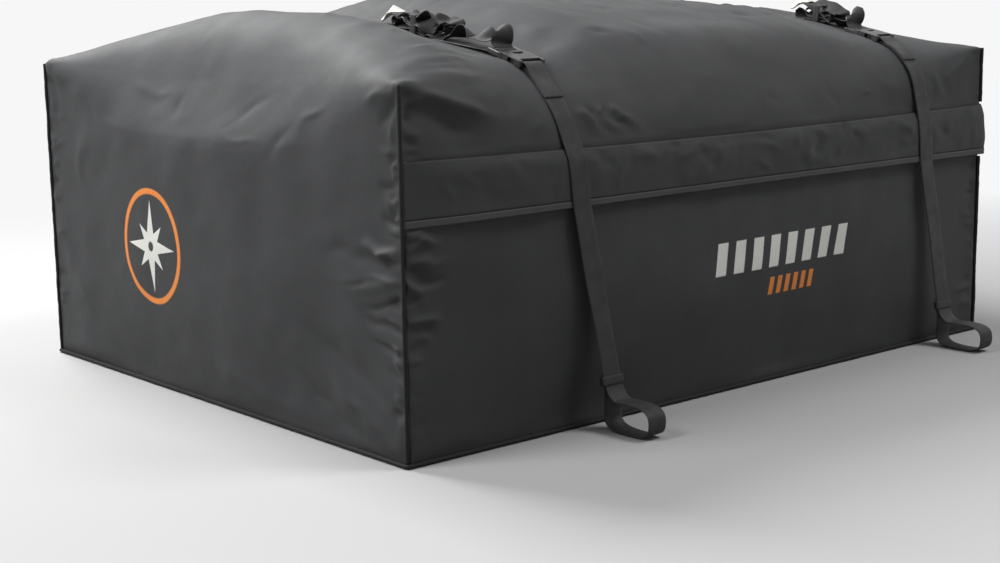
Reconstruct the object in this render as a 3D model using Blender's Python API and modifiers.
# Soft rooftop cargo carrier: a stuffed fabric bag with a zipped lid, a storm flap over the zip
# and two lashing straps, each with a side-release buckle and a rail loop at both ends.
# Metres, +Z up. X runs along the bag towards its rear end, the near long side is at -Y.
# The bag rests on its base panel at z = 0.
import math

import bmesh
import bpy
from mathutils import Matrix, Vector

# Bag size, measured on the panels
LENGTH = 1.118
WIDTH = 0.864
CORNER_HEIGHT = 0.438
REAR_INSET = 0.0035
SHEET = 0.0025
GAP = 0.0003

# Lid: height of the crown over the corners and how full it is
CROWN = 0.090
FULLER_AT_FRONT = 0.15
FULL_LENGTHWISE = 0.45
FULL_ACROSS = 0.70
FLATNESS = 3.5
SHOULDER_RADIUS = 0.085
FRONT_ROLL_RADIUS = 0.100
EAR_REACH = 0.30
FRONT_STRAP_DIP = 0.47
REAR_STRAP_DIP = 0.05
STRAP_FLATTENING = 0.50
STRAP_SHOULDER = 0.100
STRAP_DIP_REACH = 0.130

# Walls
LID_SKIRT = 0.113
ZIP_OPENING = 0.020
SIDE_BULGE = 0.009
FRONT_BULGE = 0.014
REAR_BULGE = 0.008
SWELL_REACH = 0.30

# Seams
PIPING_RADIUS = 0.0030
WELT_RADIUS = 0.0030

# Storm flap over the zip
FLAP_SEAM_DOWN = 0.085
FLAP_SAG = 0.006
FLAP_HEM_DOWN = 0.153
FLAP_SHEET = 0.0020
FLAP_STAND = 0.0072
FLAP_END_STAND = 0.0012
FLAP_RAMP = 0.10
FLAP_START = 0.0045
FLAP_CORNER = 0.0006
HEM_TAPE_HEIGHT = 0.0080
HEM_TAPE_EXTRA = 0.0006

# Zip
COIL_HEIGHT = 0.0033
COIL_DEPTH = 0.0030
COIL_SINK = 0.0008
COIL_SPLIT = 0.0014
TAPE_HEIGHT = 0.0160
TAPE_THICK = 0.0009
ZIP_CORNER = 0.014
ZIP_END_ROOM = 0.0012
SLIDER_LENGTH = 0.018
SLIDER_HEIGHT = 0.0130
SLIDER_PLATE = 0.0014
SLIDER_CLEAR = 0.0004
SLIDER_AT = 0.0140
SLIDER_NECK = 0.0030
ARCH_LENGTH = 0.0130
ARCH_WIDTH = 0.0022
ARCH_HOLE = 0.0018
ARCH_BAR = 0.0014
PULL_CORD = 0.0006
PULL_CORD_DROP = 0.0130
GRIP_LENGTH = 0.0200
GRIP_WIDTH = 0.0080
GRIP_THICK = 0.0022

# Lashing straps
FRONT_STRAP_PLACE = -0.2755
REAR_STRAP_PLACE = 0.3551
WEBBING = 0.030
WEBBING_THICK = 0.0016
STRAP_SEAT = 0.026
FRONT_NEAR_LEAN = 0.042
REAR_NEAR_LEAN = 0.029
FAR_LEAN = 0.016
LEAN_START = 0.020
SEWN_RETURN = 0.042

# Loop of each strap end round the vehicle's roof rail
RAIL_OUT = 0.0735
RAIL_HALF_WIDTH = 0.0385
RAIL_HALF_HEIGHT = 0.0190
KINK_RISE = 0.013
LOOP_END = 0.020
EYE_HEIGHT = 0.012
EYE_WALL = 0.0016

# Side-release buckle
BUCKLE_IN = 0.078
BUCKLE_WIDTH = 0.042
BUCKLE_THICK = 0.0100
SOCKET_LENGTH = 0.034
SOCKET_WALL = 0.0035
SOCKET_PLATE = 0.0020
SOCKET_DEPTH = 0.024
BAR = 0.0034
BAR_HEIGHT = 0.0046
SLOT_LENGTH = 0.0040
WINDOW_LENGTH = 0.013
MOUTH_NOTCH = 0.008
PLUG_CLEAR = 0.0004
PLUG_BLOCK = 0.0067
PRONG_WIDTH = 0.0040
PRONG_LENGTH = 0.0225
PRONG_SPACING = 0.0125
HEAD_LENGTH = 0.0095
HEAD_OUT = 0.0016
GUIDE_WIDTH = 0.0044
GUIDE_LENGTH = 0.0200
LADDER_LENGTH = 0.0215
LADDER_RAIL = 0.0038
LADDER_BAR_AT = 0.0100

# Spare tail of each strap, gathered in folds
TAIL_LOOP_HEIGHT = 0.022
TAIL_LOOP_LENGTH = 0.014
TAIL_GAP = 0.0052
FRONT_BUNDLE_START = 0.146
FRONT_BUNDLE_LENGTH = 0.112
FRONT_BUNDLE_LAYERS = 5
REAR_BUNDLE_START = 0.072
REAR_BUNDLE_LENGTH = 0.068
REAR_BUNDLE_LAYERS = 5
KEEPER_HEIGHT = 0.012
KEEPER_WALL = 0.0012
TIP_LENGTH = 0.022
TIP_THICK = 0.0040

FRONT_X = -LENGTH / 2
REAR_X = LENGTH / 2 - REAR_INSET
HALF_W = WIDTH / 2
LID_SKIRT_BOTTOM = CORNER_HEIGHT - LID_SKIRT
WALL_TOP = LID_SKIRT_BOTTOM - ZIP_OPENING
ZIP_Z = (LID_SKIRT_BOTTOM + WALL_TOP) / 2
FLAP_SEAM_Z = CORNER_HEIGHT - FLAP_SEAM_DOWN
FLAP_HEM_Z = CORNER_HEIGHT - FLAP_HEM_DOWN
FRONT_STRAP_X = FRONT_STRAP_PLACE * LENGTH
REAR_STRAP_X = REAR_STRAP_PLACE * LENGTH
BUCKLE_Y = -HALF_W + BUCKLE_IN
LIFT = GAP + WEBBING_THICK / 2
LAYER = WEBBING_THICK + GAP


def start_clean():
    for item in list(bpy.data.objects):
        bpy.data.objects.remove(item, do_unlink=True)
    for name in ("rooftop_cargo_carrier", "cutters"):
        group = bpy.data.collections.new(name)
        bpy.context.scene.collection.children.link(group)


def material(name, colour, rough, metal=0.0):
    found = bpy.data.materials.get(name)
    if found:
        return found
    made = bpy.data.materials.new(name)
    made.use_nodes = True
    shader = made.node_tree.nodes["Principled BSDF"]
    shader.inputs["Base Color"].default_value = (*colour, 1.0)
    shader.inputs["Roughness"].default_value = rough
    shader.inputs["Metallic"].default_value = metal
    return made


def coated():
    return material("coated_fabric", (0.055, 0.056, 0.058), 0.55)


def webbing():
    return material("black_webbing", (0.022, 0.022, 0.023), 0.8)


def moulded():
    return material("black_acetal", (0.030, 0.030, 0.032), 0.4)


def trim_tape():
    return material("edge_tape", (0.030, 0.030, 0.032), 0.7)


def pale_plastic():
    return material("pale_tip", (0.62, 0.61, 0.57), 0.5)


def zip_nylon():
    return material("zip_nylon", (0.040, 0.040, 0.042), 0.6)


def slider_metal():
    return material("slider_metal", (0.16, 0.16, 0.17), 0.4, 0.9)


def put(obj, look=None, group="rooftop_cargo_carrier"):
    for old in list(obj.users_collection):
        old.objects.unlink(obj)
    bpy.data.collections[group].objects.link(obj)
    if look is not None:
        obj.data.materials.clear()
        obj.data.materials.append(look)
    if group == "cutters":
        obj.hide_render = True
        obj.display_type = "WIRE"
    return obj


def bake(obj):
    # Turns the modifiers into mesh, so that the object holds its final faces
    bpy.context.view_layer.update()
    graph = bpy.context.evaluated_depsgraph_get()
    mesh = bpy.data.meshes.new_from_object(obj.evaluated_get(graph))
    obj.modifiers.clear()
    if obj.type == "MESH":
        obj.data = mesh
        return obj
    made = bpy.data.objects.new(obj.name, mesh)
    made.matrix_world = obj.matrix_world.copy()
    name = obj.name
    bpy.data.objects.remove(obj, do_unlink=True)
    made.name = name
    bpy.context.scene.collection.objects.link(made)
    return made


def outward(mesh, towards):
    # The face furthest along the given direction has to look that way
    bm = bmesh.new()
    bm.from_mesh(mesh)
    bmesh.ops.remove_doubles(bm, verts=bm.verts, dist=0.000005)
    bmesh.ops.recalc_face_normals(bm, faces=bm.faces)
    bm.normal_update()
    best = max(bm.faces, key=lambda face: face.calc_center_median().dot(towards))
    if best.normal.dot(towards) < 0:
        bmesh.ops.reverse_faces(bm, faces=bm.faces)
    bm.to_mesh(mesh)
    bm.free()


def grid_patch(bm, rows, columns, place):
    # A grid primitive whose points are placed by a function of their row and column values
    made = bmesh.ops.create_grid(bm, x_segments=len(rows) - 1, y_segments=len(columns) - 1,
                                 size=1.0)
    for vert in made["verts"]:
        i = round((vert.co.x + 1) / 2 * (len(rows) - 1))
        j = round((vert.co.y + 1) / 2 * (len(columns) - 1))
        vert.co = place(rows[i], columns[j])


def sheet(name, patches, thickness, towards, look, offset=-1.0):
    bm = bmesh.new()
    for rows, columns, place in patches:
        grid_patch(bm, rows, columns, place)
    bmesh.ops.remove_doubles(bm, verts=bm.verts, dist=0.00005)
    mesh = bpy.data.meshes.new(name)
    bm.to_mesh(mesh)
    bm.free()
    outward(mesh, towards)
    obj = bpy.data.objects.new(name, mesh)
    bpy.context.scene.collection.objects.link(obj)
    thick = obj.modifiers.new("thickness", "SOLIDIFY")
    thick.thickness = thickness
    thick.offset = offset
    thick.use_even_offset = True
    thick.use_rim = True
    return put(bake(obj), look)


def box(name, low, high, group="cutters"):
    bm = bmesh.new()
    bmesh.ops.create_cube(bm, size=1.0)
    for vert in bm.verts:
        for axis in range(3):
            vert.co[axis] = low[axis] if vert.co[axis] < 0 else high[axis]
    mesh = bpy.data.meshes.new(name)
    bm.to_mesh(mesh)
    bm.free()
    obj = bpy.data.objects.new(name, mesh)
    bpy.context.scene.collection.objects.link(obj)
    return put(obj, None, group)


def soften(obj, width, segments=2, angle=35):
    edge = obj.modifiers.new("bevel", "BEVEL")
    edge.width = width
    edge.segments = segments
    edge.limit_method = "ANGLE"
    edge.angle_limit = math.radians(angle)
    return bake(obj)


def combine(obj, others, operation):
    for other in others:
        step = obj.modifiers.new("boolean", "BOOLEAN")
        step.operation = operation
        step.solver = "EXACT"
        step.object = other
    bake(obj)
    for other in others:
        bpy.data.objects.remove(other, do_unlink=True)
    return obj


def curve(name, points, cyclic=False):
    data = bpy.data.curves.new(name, "CURVE")
    spline = data.splines.new("POLY")
    spline.points.add(len(points) - 1)
    for slot, point in zip(spline.points, points):
        slot.co = (*point, 1.0)
    spline.use_cyclic_u = cyclic
    obj = bpy.data.objects.new(name, data)
    bpy.context.scene.collection.objects.link(obj)
    return obj


def tube(name, points, radius, look, cyclic=False, group="rooftop_cargo_carrier", sides=1):
    obj = curve(name, points, cyclic)
    obj.data.dimensions = "3D"
    obj.data.bevel_depth = radius
    obj.data.bevel_resolution = sides
    obj.data.use_fill_caps = not cyclic
    obj = bake(obj)
    outward(obj.data, Vector((0, 0, 1)))
    return put(obj, look, group)


def ribbon(name, points, height, thickness, look, turn, group="rooftop_cargo_carrier"):
    # A flat strip: the outline is drawn in a plane, raised to its height and given thickness
    obj = curve(name, [(a, b, 0.0) for a, b in points])
    obj.data.dimensions = "2D"
    obj.data.fill_mode = "NONE"
    obj.data.extrude = height / 2
    obj = bake(obj)
    thick = obj.modifiers.new("thickness", "SOLIDIFY")
    thick.thickness = thickness
    thick.offset = 0.0
    thick.use_even_offset = True
    obj = bake(obj)
    obj.data.transform(turn)
    bm = bmesh.new()
    bm.from_mesh(obj.data)
    bmesh.ops.recalc_face_normals(bm, faces=bm.faces)
    bm.to_mesh(obj.data)
    bm.free()
    return put(obj, look, group)


def lines(marks, step):
    # The given marks, with even lines between them no further apart than the step
    marks = sorted(set(round(mark, 6) for mark in marks))
    out = [marks[0]]
    for a, b in zip(marks, marks[1:]):
        count = max(1, math.ceil((b - a) / step - 0.001))
        out += [a + (b - a) * k / count for k in range(1, count + 1)]
    return out


def ease(t):
    t = min(max(t, 0.0), 1.0)
    return t * t * (3 - 2 * t)


def strap_weight(x, at):
    # 1 under the strap, fading to 0 beside it
    return 1 - ease((abs(x - at) - STRAP_SEAT) / STRAP_DIP_REACH)


def level_x(x):
    # Under a strap the section stays the same, so that the webbing lies flat on it
    for at in (FRONT_STRAP_X, REAR_STRAP_X):
        x += strap_weight(x, at) * (at - x)
    return x


def crown(x, y):
    even = level_x(x)
    middle = (FRONT_X + REAR_X) / 2
    half = (REAR_X - FRONT_X) / 2
    along = min(abs(even - middle) / half, 1.0)
    across = min(abs(y) / HALF_W, 1.0)
    full = CROWN * (1 - FULLER_AT_FRONT * (even - middle) / half)
    front = strap_weight(x, FRONT_STRAP_X)
    rear = strap_weight(x, REAR_STRAP_X)
    shape = FULL_ACROSS + STRAP_FLATTENING * max(front, rear)
    rise = full * (1 - along ** FLATNESS) ** FULL_LENGTHWISE * (1 - across ** 2) ** shape
    return rise * (1 - FRONT_STRAP_DIP * front - REAR_STRAP_DIP * rear)


def rounding(top, down, radius):
    # Moves a point of a square edge onto a round one. top and down are its distances from the
    # edge on the two faces, and one of them is 0.
    if radius < 1e-6 or top >= radius or down >= radius:
        return top, down
    turn = math.pi / 4 * (1 + (top - down) / radius)
    return radius * (1 - math.cos(turn)), radius * (1 - math.sin(turn))


def lid_point(x, y, z):
    # A point of the square box, given in its three box coordinates, on the stuffed lid
    even = level_x(x)
    from_end = min(even - FRONT_X, REAR_X - even)
    from_side = HALF_W - abs(y)
    down = CORNER_HEIGHT - z
    drop = 0.0
    out_x, out_y = x, y
    under = max(strap_weight(x, FRONT_STRAP_X), strap_weight(x, REAR_STRAP_X))
    fullest = SHOULDER_RADIUS + (STRAP_SHOULDER - SHOULDER_RADIUS) * under
    shoulder = fullest * ease(from_end / EAR_REACH)
    if from_end > 0:
        inward, lower = rounding(from_side, down, shoulder)
        out_y = math.copysign(HALF_W - inward, y)
        drop += lower if down == 0 else lower - down
    for end, sign, radius in ((FRONT_X, 1, FRONT_ROLL_RADIUS), (REAR_X, -1, SHOULDER_RADIUS)):
        inward = (x - end) * sign
        roll = radius * ease(from_side / EAR_REACH)
        if from_side > 0 and inward < roll and down < roll and (inward == 0 or down == 0):
            moved, lower = rounding(inward, down, roll)
            out_x = end + sign * moved
            drop += lower if down == 0 else lower - down
    return Vector((out_x, out_y, z - drop + (crown(x, y) if down == 0 else 0.0)))


def front_point(y, z):
    point = lid_point(FRONT_X, y, z)
    over_welt = max(z - 2 * WELT_RADIUS, 0.0) / (CORNER_HEIGHT - 2 * WELT_RADIUS)
    swell = (1 - (y / HALF_W) ** 2) ** 2 * math.sin(math.pi * over_welt)
    return point - Vector((FRONT_BULGE * swell, 0, 0))


def depth_marks():
    return [CORNER_HEIGHT - d * STRAP_SHOULDER for d in (0, 0.14, 0.36, 0.66, 1.0)]


def edge_marks(low, high):
    out = []
    for share in (0, 0.14, 0.36, 0.66, 1.0):
        out += [low + share * STRAP_SHOULDER, high - share * STRAP_SHOULDER]
    return out


def x_lines():
    marks = edge_marks(FRONT_X, REAR_X)
    for at in (FRONT_STRAP_X, REAR_STRAP_X):
        marks += [at - STRAP_SEAT, at + STRAP_SEAT, at - STRAP_SEAT - STRAP_DIP_REACH]
        marks += [at + STRAP_SEAT + STRAP_DIP_REACH]
    marks = sorted(marks)
    kept = [mark for k, mark in enumerate(marks) if k == 0 or mark - marks[k - 1] > 0.0015]
    kept[-1] = REAR_X
    return lines(kept, 0.056)


def y_lines():
    return lines(edge_marks(-HALF_W, HALF_W), 0.062)


def lid_sheet():
    xs = x_lines()
    ys = y_lines()
    skirt = depth_marks() + [LID_SKIRT_BOTTOM]
    face = skirt + lines([SHEET + GAP, LID_SKIRT_BOTTOM - SHEET], 0.065)[::-1]
    patches = [(xs, ys, lambda x, y: lid_point(x, y, CORNER_HEIGHT))]
    for side in (-HALF_W, HALF_W):
        patches.append((xs, skirt, lambda x, z, side=side: lid_point(x, side, z)))
    patches.append((ys, skirt, lambda y, z: lid_point(REAR_X, y, z)))
    patches.append((ys, face, front_point))
    sheet("front_and_lid", patches, SHEET, Vector((0, 0, 1)), coated())


def wall_panels():
    low = SHEET + GAP
    zs = lines([low, WALL_TOP], 0.052)
    xs = lines([FRONT_X + SHEET + GAP, REAR_X - SHEET - GAP], 0.14)
    for name, side in (("near_side_panel", -1), ("far_side_panel", 1)):
        def place(x, z, side=side):
            end = ease(min(x - FRONT_X, REAR_X - x) / SWELL_REACH)
            swell = end * math.sin(math.pi * z / WALL_TOP) ** 2
            return Vector((x, side * (HALF_W + SIDE_BULGE * swell), z))
        sheet(name, [(xs, zs, place)], SHEET, Vector((0, side, 0)), coated())

    def rear(y, z):
        swell = (1 - (y / HALF_W) ** 2) ** 2 * math.sin(math.pi * z / WALL_TOP) ** 2
        return Vector((REAR_X + REAR_BULGE * swell, y, z))
    ys = lines([-HALF_W, HALF_W], 0.12)
    sheet("rear_panel", [(ys, zs, rear)], SHEET, Vector((1, 0, 0)), coated())


def base_panel():
    base = box("base_panel", (FRONT_X, -HALF_W, 0.0), (REAR_X, HALF_W, SHEET),
               "rooftop_cargo_carrier")
    put(base, coated())


def corner_piping():
    reach = (PIPING_RADIUS + GAP) / math.sqrt(2)
    low = 2 * WELT_RADIUS + 2 * GAP
    spans = {"front": (("", low, CORNER_HEIGHT),),
             "rear": (("_lower", low, FLAP_HEM_Z - HEM_TAPE_HEIGHT - 4 * GAP - PIPING_RADIUS),
                      ("_upper", FLAP_SEAM_Z + PIPING_RADIUS + GAP, CORNER_HEIGHT))}
    for end, x, sx in (("front", FRONT_X, -1), ("rear", REAR_X, 1)):
        for side, sy in (("near", -1), ("far", 1)):
            for part, z0, z1 in spans[end]:
                at = (x + sx * reach, sy * (HALF_W + reach))
                points = [(*at, z0 + (z1 - z0) * k / 3) for k in range(4)]
                tube(f"{end}_{side}_corner_piping{part}", points, PIPING_RADIUS, trim_tape())


def base_welt():
    out = WELT_RADIUS + GAP
    corner = out
    points = []
    for cx, cy, start in ((REAR_X, HALF_W, 0), (FRONT_X, HALF_W, 90), (FRONT_X, -HALF_W, 180),
                          (REAR_X, -HALF_W, 270)):
        mx = cx + math.copysign(1.0, cx) * (out - corner)
        my = cy + math.copysign(1.0, cy) * (out - corner)
        for k in range(4):
            turn = math.radians(start + 30 * k)
            points.append((mx + corner * math.cos(turn), my + corner * math.sin(turn), out))
    tube("base_welt", points, WELT_RADIUS, trim_tape(), cyclic=True)


def u_path(offset, corner, start):
    # The line round the near side, the rear end and the far side, offset from the walls.
    # Each entry holds a point, its outward direction and its distance from the start.
    out = []
    cx = REAR_X + offset - corner
    cy = HALF_W + offset - corner
    for x in lines([start, start + FLAP_RAMP, cx], 0.16)[:-1]:
        out.append(((x, -cy - corner), (0.0, -1.0), x - start))
    for k in range(5):
        turn = math.radians(-90 + 22.5 * k)
        way = (math.cos(turn), math.sin(turn))
        out.append(((cx + corner * way[0], -cy + corner * way[1]), way, cx - start))
    half = [((x, -y), (a, -b), s) for (x, y), (a, b), s in reversed(out)]
    middle = [((cx + corner, 0.0), (1.0, 0.0), cx - start)]
    return out + middle + half


def flap_stand(distance, level):
    stand = FLAP_END_STAND + (FLAP_STAND - FLAP_END_STAND) * ease(distance / FLAP_RAMP)
    return GAP + (stand - GAP) * level


def flap_seam(point):
    # The seam sags a little halfway along the long sides
    along = (point[0] - FRONT_X) / (REAR_X - FRONT_X)
    return FLAP_SEAM_Z - FLAP_SAG * math.sin(math.pi * min(max(along, 0.0), 1.0))


def flap_strip(name, levels, inner, thickness, look, zs):
    path = u_path(0.0, FLAP_CORNER, FRONT_X + FLAP_START)
    index = list(range(len(path)))

    def place(k, row):
        (x, y), (a, b), distance = path[k]
        off = flap_stand(distance, levels[row]) + inner
        return Vector((x + a * off, y + b * off, zs(path[k][0], row)))
    return sheet(name, [(index, list(range(len(levels))), place)], thickness,
                 Vector((1, 0, 0)), look, offset=1.0)


def storm_flap():
    shares = (0.0, 0.10, 0.24, 0.60, 1.0)

    def height(point, row):
        top = flap_seam(point)
        return top + (FLAP_HEM_Z - top) * shares[row]
    flap_strip("storm_flap", (0.0, 0.50, 0.92, 1.0, 0.94), 0.0, FLAP_SHEET, coated(), height)

    def tape(point, row):
        return FLAP_HEM_Z - GAP - HEM_TAPE_HEIGHT * row
    flap_strip("flap_hem_tape", (0.94, 0.94), -HEM_TAPE_EXTRA, FLAP_SHEET + 2 * HEM_TAPE_EXTRA,
               trim_tape(), tape)


def wall_ribbon(name, depth, thickness, z_low, z_high, look):
    # A strip just inside the walls, following the zip
    path = u_path(-depth - thickness / 2, ZIP_CORNER, FRONT_X + SHEET + ZIP_END_ROOM)
    turn = Matrix.Translation((0, 0, (z_low + z_high) / 2))
    ribbon(name, [point for point, way, s in path], z_high - z_low, thickness, look, turn)


def zip_parts():
    half = COIL_SPLIT / 2
    wall_ribbon("zip_coil_upper", COIL_SINK, COIL_DEPTH, ZIP_Z + half, ZIP_Z + half + COIL_HEIGHT,
                zip_nylon())
    wall_ribbon("zip_coil_lower", COIL_SINK, COIL_DEPTH, ZIP_Z - half - COIL_HEIGHT, ZIP_Z - half,
                zip_nylon())
    edge = half + COIL_HEIGHT + GAP
    wall_ribbon("zip_tape_upper", SHEET + GAP, TAPE_THICK, ZIP_Z + edge, ZIP_Z + edge + TAPE_HEIGHT,
                zip_nylon())
    wall_ribbon("zip_tape_lower", SHEET + GAP, TAPE_THICK, ZIP_Z - edge - TAPE_HEIGHT, ZIP_Z - edge,
                zip_nylon())


def slider(name, y):
    front = REAR_X - COIL_SINK + SLIDER_CLEAR
    back = REAR_X - COIL_SINK - COIL_DEPTH - SLIDER_CLEAR
    h = SLIDER_HEIGHT / 2
    a = SLIDER_LENGTH / 2
    body = box(name, (front, y - a, ZIP_Z - h), (front + SLIDER_PLATE, y + a, ZIP_Z + h),
               "rooftop_cargo_carrier")
    rear = box("rear_plate", (back - SLIDER_PLATE, y - a, ZIP_Z - h), (back, y + a, ZIP_Z + h))
    for plate in (body, rear):
        edge = plate.modifiers.new("bevel", "BEVEL")
        edge.width = 0.0042
        edge.segments = 2
        edge.limit_method = "WEIGHT"
        mark = plate.data.attributes.new("bevel_weight_edge", "FLOAT", "EDGE")
        for k, item in enumerate(plate.data.edges):
            ends = [plate.data.vertices[v].co for v in item.vertices]
            mark.data[k].value = 1.0 if abs(ends[0].x - ends[1].x) > 0.0001 else 0.0
        bake(plate)
    thin = COIL_SPLIT / 2 - GAP
    neck = box("neck", (back - 0.0003, y - SLIDER_NECK / 2, ZIP_Z - thin),
               (front + 0.0003, y + SLIDER_NECK / 2, ZIP_Z + thin))
    face = front + SLIDER_PLATE
    arch = box("arch", (face - 0.0003, y - ARCH_LENGTH / 2, ZIP_Z - ARCH_WIDTH / 2),
               (face + ARCH_HOLE + ARCH_BAR, y + ARCH_LENGTH / 2, ZIP_Z + ARCH_WIDTH / 2))
    hole = box("hole", (face, y - ARCH_LENGTH / 2 + 0.002, ZIP_Z - ARCH_WIDTH),
               (face + ARCH_HOLE, y + ARCH_LENGTH / 2 - 0.002, ZIP_Z + ARCH_WIDTH))
    combine(body, [rear, neck, arch], "UNION")
    combine(body, [hole], "DIFFERENCE")
    put(body, slider_metal())
    return face


def pull(name, y, face):
    # A cord loop through the slider's arch, with a moulded grip
    near = face + ARCH_HOLE / 2
    far = face + ARCH_HOLE + ARCH_BAR + GAP + PULL_CORD
    middle = (near + far) / 2
    half = (far - near) / 2
    low = ZIP_Z - PULL_CORD_DROP
    top = ZIP_Z + ARCH_WIDTH / 2 + GAP + PULL_CORD - half * 0.5
    points = [(middle - half * 0.45, y, low - 0.002), (near, y, ZIP_Z - 0.005), (near, y, top)]
    for k in range(1, 4):
        turn = math.radians(180 - 45 * k)
        points.append((middle + half * math.cos(turn), y, top + half * math.sin(turn)))
    points += [(far, y, top), (far, y, ZIP_Z - 0.005), (middle + half * 0.45, y, low - 0.002)]
    cord = tube(name, points, PULL_CORD, moulded(), sides=0)
    grip = box("grip", (middle - GRIP_THICK / 2, y - GRIP_WIDTH / 2, low - GRIP_LENGTH),
               (middle + GRIP_THICK / 2, y + GRIP_WIDTH / 2, low))
    soften(grip, 0.0008, 1)
    combine(cord, [grip], "UNION")


def convex_chain(points):
    # The taut line over the points, from the near side to the far side
    out = []
    for point in sorted(points, key=lambda p: (p[0], p[1])):
        while len(out) > 1:
            (ay, az), (by, bz) = out[-2], out[-1]
            if (by - ay) * (point[1] - az) - (bz - az) * (point[0] - ay) < -1e-10:
                break
            out.pop()
        out.append(point)
    return out


class Route:
    """The line on which one strap lies, measured from the middle of its buckle's socket."""

    def __init__(self, x):
        self.x = x
        ring = [lid_point(x, y, CORNER_HEIGHT) for y in y_lines()]
        section = [(p.y, p.z) for p in ring]
        flap = []
        for share, level in ((0.10, 0.50), (0.24, 0.92), (0.60, 1.0), (1.0, 0.94)):
            seam = flap_seam((x, 0))
            off = flap_stand(FLAP_RAMP, level) + FLAP_SHEET
            flap.append((HALF_W + off, seam + (FLAP_HEM_Z - seam) * share))
        tape = HALF_W + flap_stand(FLAP_RAMP, 0.94) + FLAP_SHEET + HEM_TAPE_EXTRA
        flap.append((tape, FLAP_HEM_Z - GAP))
        flap.append((tape, FLAP_HEM_Z - GAP - HEM_TAPE_HEIGHT))
        section += [(y, z) for y, z in flap] + [(-y, z) for y, z in flap]
        for z in depth_marks():
            point = lid_point(x, -HALF_W, z)
            section += [(point.y, point.z), (-point.y, point.z)]
        chain = convex_chain(section)
        for (ay, az), (by, bz) in zip(chain, chain[1:]):
            if ay <= BUCKLE_Y <= by:
                share = (BUCKLE_Y - ay) / (by - ay)
                self.origin = Vector((BUCKLE_Y, az + (bz - az) * share))
                self.along = Vector((by - ay, bz - az)).normalized()
        self.out = Vector((-self.along.y, self.along.x))
        ends = (-SOCKET_LENGTH / 2 - 0.004, SOCKET_LENGTH / 2 + PLUG_BLOCK + LADDER_LENGTH + 0.004)
        for s in ends:
            spot = self.origin + s * self.along
            section.append((spot.x, spot.y))
        low = min(section, key=lambda p: (p[0], p[1]))
        self.chain = [Vector(p) for p in convex_chain(section)]
        self.low = low
        self.place = [0.0]
        for a, b in zip(self.chain, self.chain[1:]):
            self.place.append(self.place[-1] + (b - a).length)
        best = min(range(len(self.chain) - 1), key=lambda k: self.miss(k))
        zero = self.place[best] + (self.origin - self.chain[best]).dot(self.along)
        self.place = [value - zero for value in self.place]

    def miss(self, k):
        a, b = self.chain[k], self.chain[k + 1]
        way = (b - a).normalized()
        t = min(max((self.origin - a).dot(way), 0.0), (b - a).length)
        return (a + t * way - self.origin).length

    def normal(self, k):
        a, b = self.chain[k], self.chain[k + 1]
        way = (b - a).normalized()
        return Vector((-way.y, way.x))

    def corner(self, k, n):
        before = self.normal(max(k - 1, 0))
        after = self.normal(min(k, len(self.chain) - 2))
        both = (before + after).normalized()
        return self.chain[k] + both * (n / max(both.dot(after), 0.5))

    def at(self, s, n):
        k = 0
        while k < len(self.chain) - 2 and self.place[k + 1] < s:
            k += 1
        a, b = self.chain[k], self.chain[k + 1]
        share = (s - self.place[k]) / (self.place[k + 1] - self.place[k])
        beside_buckle = self.place[k] < 0 < self.place[k + 1]
        if beside_buckle or share < 0 or share > 1:
            return a + (b - a) * share + self.normal(k) * n
        return self.corner(k, n).lerp(self.corner(k + 1, n), share)

    def rigid(self, s, n):
        # The same in the buckle's own straight frame
        return self.origin + self.along * s + self.out * n

    def run(self, stops):
        # Points through the stops, each a distance along the line and a height over it
        out = [self.at(*stops[0])]
        for (s0, n0), (s1, n1) in zip(stops, stops[1:]):
            low, high = min(s0, s1), max(s0, s1)
            inner = [k for k, s in enumerate(self.place) if low + 0.0015 < s < high - 0.0015]
            if s1 < s0:
                inner.reverse()
            for k in inner:
                share = (self.place[k] - s0) / (s1 - s0)
                out.append(self.corner(k, n0 + (n1 - n0) * share))
            out.append(self.at(s1, n1))
        return out

    def half_turn(self, s, n0, n1, way):
        # Points of a half circle between two heights, bulging along the line (way 1 or -1)
        radius = abs(n1 - n0) / 2
        sign = 1 if n1 > n0 else -1
        out = []
        for k in range(1, 4):
            turn = math.radians(-90 + 45 * k)
            out.append((s + way * radius * math.cos(turn), (n0 + n1) / 2 + sign * radius * math.sin(turn)))
        return out

    def frame(self):
        # Local axes of the buckle: along the strap, across it, out of the bag
        along = Vector((0, self.along.x, self.along.y))
        out = Vector((0, self.out.x, self.out.y))
        across = out.cross(along)
        turn = Matrix((along, across, out)).transposed().to_4x4()
        return Matrix.Translation((self.x, self.origin.x, self.origin.y)) @ turn


def thin(points):
    out = [points[0]]
    for point in points[1:]:
        if (point - out[-1]).length > 0.0004:
            out.append(point)
    return out


def rail_run():
    # From the flap's hem down to the rail and round it, for the near side
    middle = Vector((-HALF_W - RAIL_OUT, RAIL_HALF_HEIGHT + LIFT + GAP))
    kink = middle + Vector((RAIL_HALF_WIDTH - 0.002, RAIL_HALF_HEIGHT + KINK_RISE))
    points = [kink]
    for degrees in (62, 84, 105, 125, 143, 160, 180, 200, 217, 235, 255, 275, 300, 322, 342, 360):
        c = math.cos(math.radians(degrees))
        s = math.sin(math.radians(degrees))
        points.append(middle + Vector((RAIL_HALF_WIDTH * math.copysign(abs(c) ** 0.67, c),
                                       RAIL_HALF_HEIGHT * math.copysign(abs(s) ** 0.67, s))))
    return middle, kink, points


def strap_low_end(route):
    y = route.chain[0]
    return Vector((y.x - LIFT, FLAP_HEM_Z - GAP - HEM_TAPE_HEIGHT))


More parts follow.
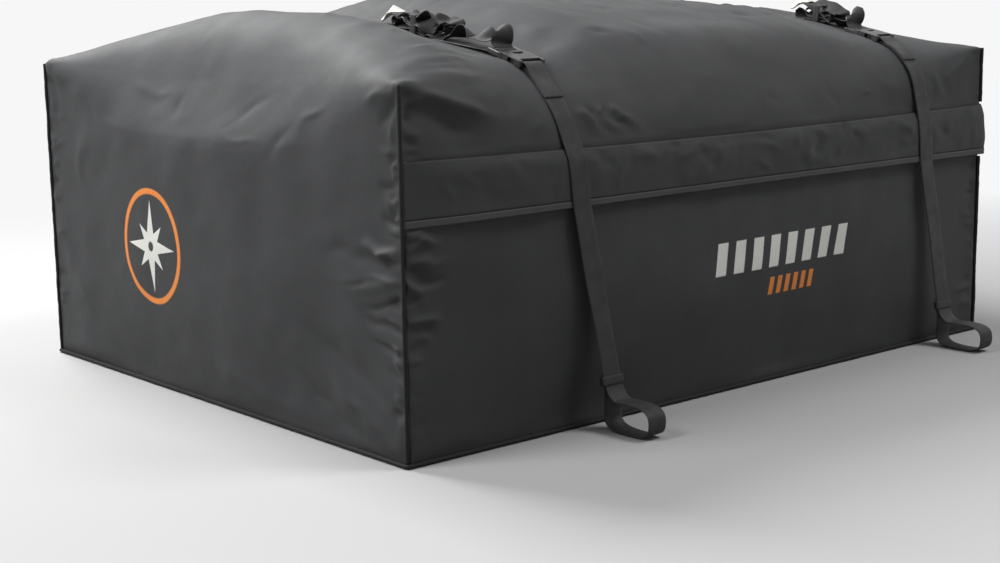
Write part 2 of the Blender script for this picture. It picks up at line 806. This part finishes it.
def lower_part(route):
    middle, kink, points = rail_run()
    top = strap_low_end(route)
    up = (top - kink).normalized()
    inward = Vector((up.y, -up.x))
    points.append(kink + inward * LAYER - up * 0.010)
    points.append(kink + inward * LAYER + up * LOOP_END)
    return top, kink, up, inward, points


def lean(obj, amount, kink):
    # The webbing leans along the bag on its way down to the rail
    top = CORNER_HEIGHT - LEAN_START
    for vert in obj.data.vertices:
        share = min(max((top - vert.co.z) / (top - kink.y), 0.0), 1.0)
        vert.co.x += amount * share


def strap(name, points, x):
    turn = Matrix(((0, 0, 1, x), (1, 0, 0, 0), (0, 1, 0, 0), (0, 0, 0, 1)))
    flat = thin([Vector((p[0], p[1])) for p in points])
    return ribbon(name, [(p.x, p.y) for p in flat], WEBBING, WEBBING_THICK, webbing(), turn)


def near_strap(name, route, amount):
    top, kink, up, inward, points = lower_part(route)
    bar = -SOCKET_LENGTH / 2 + BAR / 2 + 0.0001
    turn_top = 2 * BAR_HEIGHT - LIFT
    end = bar - 0.012 - SEWN_RETURN
    stops = [(route.place[0] + 0.001, LIFT), (bar, LIFT)]
    over = route.run(stops)
    fold = [route.at(s, n) for s, n in route.half_turn(bar, LIFT, turn_top, 1)]
    back = route.run([(bar, turn_top), (bar - 0.012, LIFT + LAYER), (end, LIFT + LAYER)])
    obj = strap(name, list(reversed(points)) + [top] + over + fold + back, route.x)
    lean(obj, amount, kink)
    eye(name.replace("strap", "rail_eye"), route.x, kink, up, inward, amount, 1)


def eye(name, x, kink, up, inward, amount, mirror):
    # The sewn eye that gathers the strap and its loop end
    middle = kink + up * (LOOP_END / 2) + inward * (LAYER / 2)
    lean_top = CORNER_HEIGHT - LEAN_START
    slant = abs(amount) / (lean_top - kink.y)
    wide = WEBBING / 2 + 2 * GAP + slant * EYE_HEIGHT / 2
    deep = LAYER / 2 + WEBBING_THICK / 2 + GAP
    tall = EYE_HEIGHT / 2
    body = box(name, (-wide - EYE_WALL, -deep - EYE_WALL, -tall),
               (wide + EYE_WALL, deep + EYE_WALL, tall), "rooftop_cargo_carrier")
    soften(body, 0.0008, 1)
    hole = box("hole", (-wide, -deep, -tall * 2), (wide, deep, tall * 2))
    combine(body, [hole], "DIFFERENCE")
    drop = (lean_top - middle.y) / (lean_top - kink.y)
    turn = Matrix(((1, 0, 0, x + amount * drop), (0, inward.x, up.x, middle.x),
                   (0, inward.y, up.y, middle.y), (0, 0, 0, 1)))
    body.data.transform(turn)
    if mirror < 0:
        body.data.transform(Matrix.Diagonal((1, -1, 1, 1)))
        body.data.flip_normals()
    put(body, webbing())


def ladder_bar():
    return SOCKET_LENGTH / 2 + GAP + PLUG_BLOCK + LADDER_BAR_AT


def far_strap(name, route, amount):
    top, kink, up, inward, points = lower_part(route)
    bar = ladder_bar()
    turn_top = 2 * BAR_HEIGHT - LIFT
    start = [route.at(bar + 0.004, turn_top), route.at(bar, turn_top)]
    fold = [route.at(s, n) for s, n in route.half_turn(bar, turn_top, LIFT, -1)]
    over = route.run([(bar, LIFT), (route.place[-1] - 0.001, LIFT)])
    down = [Vector((-p.x, p.y)) for p in [top] + points]
    obj = strap(name, start + fold + over + down, route.x)
    lean(obj, amount, kink)
    eye(name.replace("strap", "rail_eye"), route.x, kink, up, inward, amount, -1)


def tail(name, route, start, length, layers):
    # The spare webbing: a standing loop at the ladder lock, then folds gathered in a bundle
    first = ladder_bar() + 0.0052
    turn_top = 2 * BAR_HEIGHT - LIFT
    loop = [(first, turn_top), (first + 0.006, turn_top + 0.003),
            (first + 0.005, turn_top + TAIL_LOOP_HEIGHT * 0.6),
            (first + 0.009, turn_top + TAIL_LOOP_HEIGHT),
            (first + 0.013, turn_top + TAIL_LOOP_HEIGHT * 0.85),
            (first + TAIL_LOOP_LENGTH + 0.006, turn_top + 0.004)]
    level = LIFT + LAYER + KEEPER_WALL + GAP + 0.0006
    stops = [(start, level + 0.0015), (start + 0.4 * length, level)]
    here = start + length
    way = 1
    for layer in range(layers):
        sway = 0.0012 * math.sin(2.1 * layer)
        stops.append((here, level))
        if layer == layers - 1:
            break
        stops += route.half_turn(here, level, level + TAIL_GAP, way)
        level += TAIL_GAP
        stops.append((here, level))
        way = -way
        middle = start + 0.5 * length
        stops.append((middle, level + sway * 0.3))
        inset = length * (0.05 + 0.05 * math.sin(1.7 * layer + 0.6))
        here = start + length - inset if way > 0 else start + inset
    standing = [route.rigid(s, n) for s, n in loop]
    obj = strap(name, standing + route.run(stops), route.x)
    return obj, stops[-1], level


def keeper(name, route, start, length, low, high):
    # An elastic band round the gathered folds
    wide = WEBBING / 2 + 2 * GAP
    at = start + 0.5 * length
    spot = route.at(at, 0.0)
    step = route.at(at + 0.001, 0.0) - route.at(at - 0.001, 0.0)
    step.normalize()
    out = Vector((-step.y, step.x))
    body = box(name, (-KEEPER_HEIGHT / 2, -wide - KEEPER_WALL, low - KEEPER_WALL),
               (KEEPER_HEIGHT / 2, wide + KEEPER_WALL, high + KEEPER_WALL), "rooftop_cargo_carrier")
    soften(body, 0.0006, 1)
    hole = box("hole", (-KEEPER_HEIGHT, -wide, low), (KEEPER_HEIGHT, wide, high))
    combine(body, [hole], "DIFFERENCE")
    turn = Matrix(((0, 1, 0, route.x), (step.x, 0, out.x, spot.x), (step.y, 0, out.y, spot.y),
                   (0, 0, 0, 1)))
    body.data.transform(turn)
    bm = bmesh.new()
    bm.from_mesh(body.data)
    bmesh.ops.recalc_face_normals(bm, faces=bm.faces)
    bm.to_mesh(body.data)
    bm.free()
    put(body, webbing())


def tail_tip(name, route, end, way):
    # The folded and sewn pale end of the tail, clamped on the last few millimetres
    s, n = end
    spot = route.at(s + way * (GAP + TIP_LENGTH / 2), n)
    step = (route.at(s + 0.001, n) - route.at(s - 0.001, n)).normalized()
    out = Vector((-step.y, step.x))
    body = box(name, (-TIP_LENGTH / 2, -WEBBING / 2, -TIP_THICK / 2),
               (TIP_LENGTH / 2, WEBBING / 2, TIP_THICK / 2), "rooftop_cargo_carrier")
    soften(body, 0.0010, 2)
    turn = Matrix(((0, 1, 0, route.x), (step.x, 0, out.x, spot.x), (step.y, 0, out.y, spot.y),
                   (0, 0, 0, 1)))
    body.data.transform(turn)
    body.data.flip_normals()
    put(body, pale_plastic())


def socket(name, route):
    # The half with the windows. Its bar holds the sewn end of the near strap.
    half = SOCKET_LENGTH / 2
    wide = BUCKLE_WIDTH / 2
    low, high = GAP, GAP + BUCKLE_THICK
    body = box(name, (-half, -wide, low), (half, wide, high), "rooftop_cargo_carrier")
    soften(body, 0.0012, 2)
    slot_end = -half + BAR + SLOT_LENGTH
    inner = wide - SOCKET_WALL
    mouth = box("mouth", (half - SOCKET_DEPTH, -inner, low + SOCKET_PLATE),
                (half + 0.002, inner, high - SOCKET_PLATE))
    window = box("window", (half - SOCKET_DEPTH, -wide - 0.002, low + SOCKET_PLATE),
                 (half - SOCKET_DEPTH + WINDOW_LENGTH, wide + 0.002, high - SOCKET_PLATE))
    opening = box("opening", (-half - 0.002, -WEBBING / 2 - 0.0012, low - 0.001),
                  (slot_end, WEBBING / 2 + 0.0012, high + 0.001))
    notch = box("notch", (half - MOUTH_NOTCH, -0.009, high - SOCKET_PLATE - 0.001),
                (half + 0.002, 0.009, high + 0.001))
    mark = notch.data.attributes.new("bevel_weight_edge", "FLOAT", "EDGE")
    for k, item in enumerate(notch.data.edges):
        ends = [notch.data.vertices[v].co for v in item.vertices]
        upright = abs(ends[0].z - ends[1].z) > 0.0001 and ends[0].x < half
        mark.data[k].value = 1.0 if upright else 0.0
    edge = notch.modifiers.new("bevel", "BEVEL")
    edge.width = 0.005
    edge.segments = 3
    edge.limit_method = "WEIGHT"
    bake(notch)
    combine(body, [mouth, window, opening, notch], "DIFFERENCE")
    bar = box("bar", (-half + 0.0001, -WEBBING / 2 - 0.0030, BAR_HEIGHT - BAR / 2),
              (-half + BAR + 0.0001, WEBBING / 2 + 0.0030, BAR_HEIGHT + BAR / 2))
    soften(bar, 0.0009, 1)
    combine(body, [bar], "UNION")
    body.data.transform(route.frame())
    put(body, moulded())


def plug(name, route):
    # The half with two latch prongs, a centre guide and the ladder lock
    face = SOCKET_LENGTH / 2 + GAP
    wide = BUCKLE_WIDTH / 2
    low = GAP + SOCKET_PLATE + PLUG_CLEAR
    high = GAP + BUCKLE_THICK - SOCKET_PLATE - PLUG_CLEAR
    block_end = face + PLUG_BLOCK
    body = box(name, (face, -wide, GAP + 0.0008), (block_end, wide, GAP + BUCKLE_THICK - 0.0004),
               "rooftop_cargo_carrier")
    soften(body, 0.0010, 2)
    extras = []
    inner = wide - SOCKET_WALL - PLUG_CLEAR
    for side in (-1, 1):
        near = side * (PRONG_SPACING)
        far = side * (PRONG_SPACING + PRONG_WIDTH - HEAD_OUT)
        arm = box("arm", (face - PRONG_LENGTH, min(near, far), low),
                  (face + 0.001, max(near, far), high))
        head = box("head", (face - PRONG_LENGTH, min(near, side * inner), low),
                   (face - PRONG_LENGTH + HEAD_LENGTH, max(near, side * inner), high))
        edge = head.modifiers.new("bevel", "BEVEL")
        edge.width = 0.0022
        edge.segments = 2
        edge.limit_method = "WEIGHT"
        mark = head.data.attributes.new("bevel_weight_edge", "FLOAT", "EDGE")
        for k, item in enumerate(head.data.edges):
            ends = [head.data.vertices[v].co for v in item.vertices]
            upright = abs(ends[0].z - ends[1].z) > 0.0001
            outer = abs(ends[0].y) > PRONG_SPACING + 0.001 and ends[0].x < face - PRONG_LENGTH + 0.001
            mark.data[k].value = 1.0 if upright and outer else 0.0
        bake(head)
        rail = box("rail", (block_end - 0.001, min(side * wide, side * (wide - LADDER_RAIL)), GAP + 0.0012),
                   (block_end + LADDER_LENGTH, max(side * wide, side * (wide - LADDER_RAIL)), GAP + 0.0078))
        soften(rail, 0.0009, 1)
        extras += [arm, head, rail]
    guide = box("guide", (face - GUIDE_LENGTH, -GUIDE_WIDTH / 2, low),
                (face + 0.001, GUIDE_WIDTH / 2, high))
    soften(guide, 0.0006, 1)
    across = wide - LADDER_RAIL + 0.0012
    middle = box("middle", (ladder_bar() - BAR / 2, -across, BAR_HEIGHT - BAR / 2),
                 (ladder_bar() + BAR / 2, across, BAR_HEIGHT + BAR / 2))
    soften(middle, 0.0009, 1)
    tail_end = block_end + LADDER_LENGTH
    under = LIFT + WEBBING_THICK / 2 + 2 * GAP
    last = box("last", (tail_end - BAR, -across, under), (tail_end, across, under + 0.0030))
    soften(last, 0.0008, 1)
    combine(body, extras + [guide, middle, last], "UNION")
    body.data.transform(route.frame())
    put(body, moulded())


def lashing(label, x, amount, start, length, layers):
    route = Route(x)
    near_strap(f"{label}_near_strap", route, amount)
    far_strap(f"{label}_far_strap", route, FAR_LEAN)
    socket(f"{label}_buckle_socket", route)
    plug(f"{label}_buckle_plug", route)
    obj, end, top = tail(f"{label}_strap_tail", route, start, length, layers)
    low = LIFT + LAYER / 2 + GAP + KEEPER_WALL
    keeper(f"{label}_tail_keeper", route, start, length, low, top + WEBBING_THICK / 2 + 0.0012)
    tail_tip(f"{label}_tail_tip", route, end, 1 if layers % 2 else -1)


def main():
    start_clean()
    lid_sheet()
    wall_panels()
    base_panel()
    corner_piping()
    base_welt()
    storm_flap()
    zip_parts()
    for label, side in (("left", -1), ("right", 1)):
        face = slider(f"zip_slider_{label}", side * SLIDER_AT)
        pull(f"zip_pull_{label}", side * SLIDER_AT, face)
    lashing("front", FRONT_STRAP_X, FRONT_NEAR_LEAN, FRONT_BUNDLE_START, FRONT_BUNDLE_LENGTH,
            FRONT_BUNDLE_LAYERS)
    lashing("rear", REAR_STRAP_X, REAR_NEAR_LEAN, REAR_BUNDLE_START, REAR_BUNDLE_LENGTH,
            REAR_BUNDLE_LAYERS)


main()
